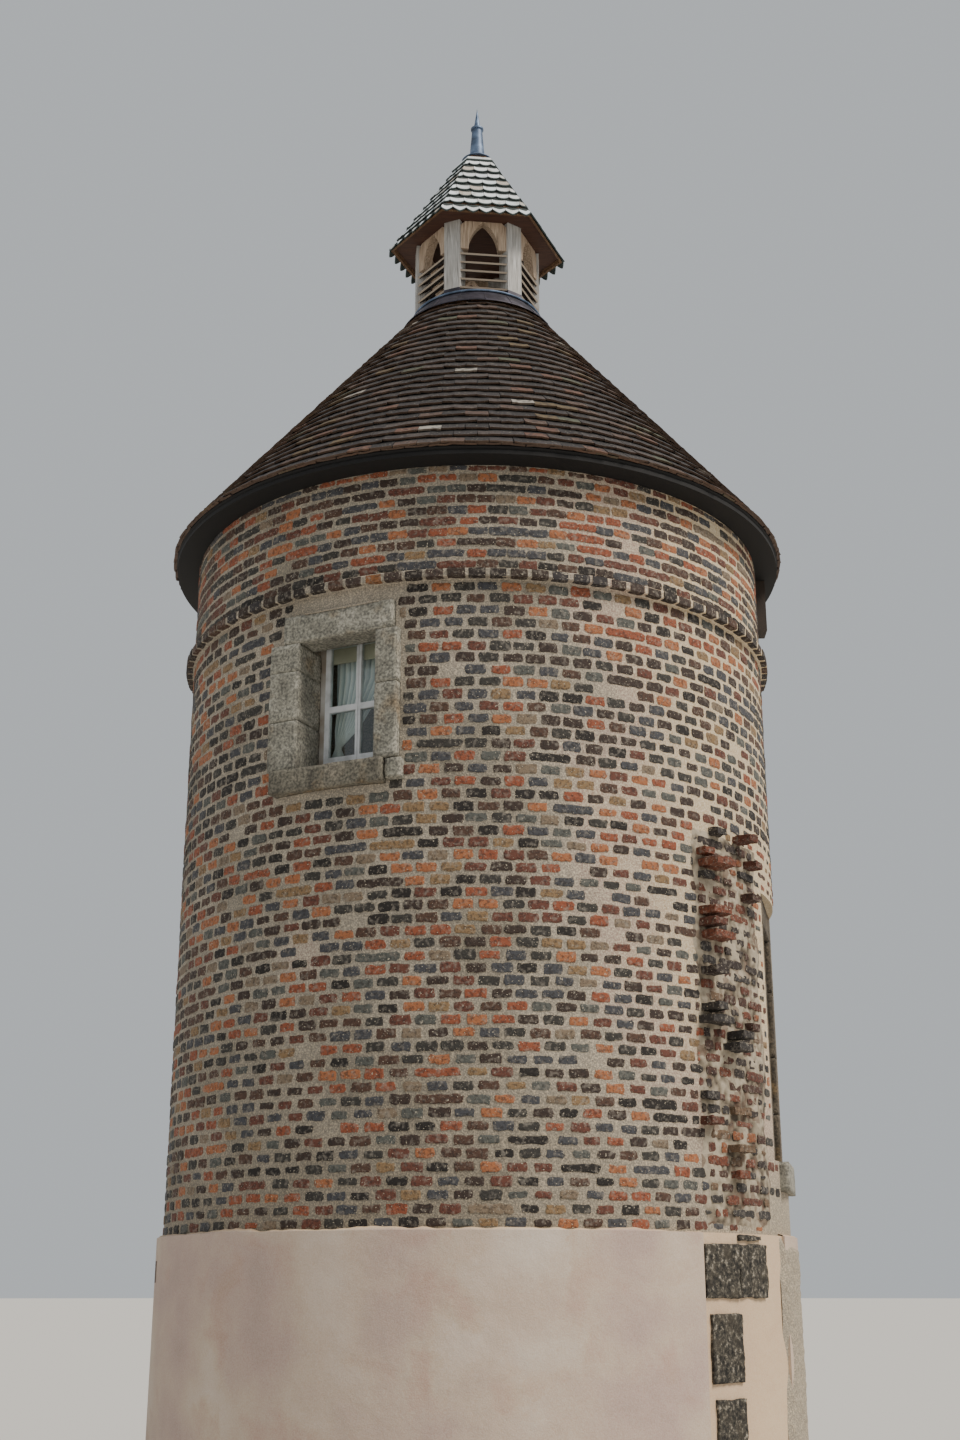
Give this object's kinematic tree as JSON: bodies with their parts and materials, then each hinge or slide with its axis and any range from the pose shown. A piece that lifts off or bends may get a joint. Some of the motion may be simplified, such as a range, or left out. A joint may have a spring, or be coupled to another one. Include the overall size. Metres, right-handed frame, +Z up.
{
  "type": "round dovecote tower",
  "caption": "Round brick dovecote tower on a rendered base, with stone-framed windows, a conical tiled roof and a louvred six-sided lantern.",
  "frame": {"origin": "on the tower's vertical axis at ground level, under the middle of the base", "axes": "+Z up along the tower's axis, -Y the front that the picture shows, +X to the right seen from the front"},
  "size_m": [4.8278, 4.8278, 11.6201],
  "materials": {
    "bracket_timber": "reddish brown stained timber",
    "brick_masonry": "old hand-made bricks in headers, lime mortar smeared over their edges",
    "clay_tile": "flat dark brown clay tiles with lichen",
    "curtain_voile": "white cotton voile",
    "cut_stone": "tooled grey-green stone",
    "dark_stone": "rough dark granite",
    "door_boards": "grey-brown oiled planks",
    "flagstone": "worn flagstones",
    "floor_boards": "wide worn floor boards",
    "lime_render": "pinkish lime render, wood floated, with ochre stains",
    "louvre_timber": "brown oiled slats with pale edges",
    "painted_wood": "white gloss paint on softwood",
    "sawn_timber": "sawn old timber",
    "soffit_boards": "reddish-brown stained boards",
    "tarred_lining": "near-black painted lining",
    "weathered_oak": "silvered pale oak",
    "window_glass": "clear drawn glass",
    "wood_shingle": "silvered round-tailed wooden shingles",
    "zinc_sheet": "weathered blue-grey zinc sheet"
  },
  "bodies": {
    "root": {"base_wall_front": "lime_render", "base_wall_left": "lime_render", "base_wall_right": "lime_render", "corner_stones": "dark_stone", "door": "door_boards", "door_lintel": "weathered_oak", "eaves_bracket": "bracket_timber", "eaves_cornice": "tarred_lining", "finial": "zinc_sheet", "finial_skirt": "zinc_sheet", "first_floor_boards": "floor_boards", "first_floor_joists": "sawn_timber", "front_window_casements": "painted_wood", "front_window_curtains": "curtain_voile", "front_window_frame": "painted_wood", "front_window_glass": "window_glass", "front_window_jambs": "cut_stone", "front_window_lintel": "cut_stone", "front_window_sill": "cut_stone", "ground_floor": "flagstone", "lantern_boards": "sawn_timber", "lantern_braces": "weathered_oak", "lantern_curb": "sawn_timber", "lantern_flashing": "zinc_sheet", "lantern_louvres": "louvre_timber", "lantern_posts": "weathered_oak", "lantern_shingles": "wood_shingle", "lantern_soffit": "soffit_boards", "lantern_top_plate": "sawn_timber", "lower_wall_front": "brick_masonry", "lower_wall_left": "brick_masonry", "lower_wall_right": "brick_masonry", "rafters": "sawn_timber", "roof_tiles": "clay_tile", "side_window_casements": "painted_wood", "side_window_frame": "painted_wood", "side_window_glass": "window_glass", "side_window_jambs": "cut_stone", "side_window_lintel": "cut_stone", "side_window_sill": "cut_stone", "string_course": "brick_masonry", "toothing_bricks": "brick_masonry", "upper_floor_boards": "floor_boards", "upper_floor_joists": "sawn_timber", "upper_wall_front": "brick_masonry", "upper_wall_left": "brick_masonry", "upper_wall_right": "brick_masonry", "wall_head": "brick_masonry", "wall_plate": "sawn_timber"}
  },
  "joints": []
}
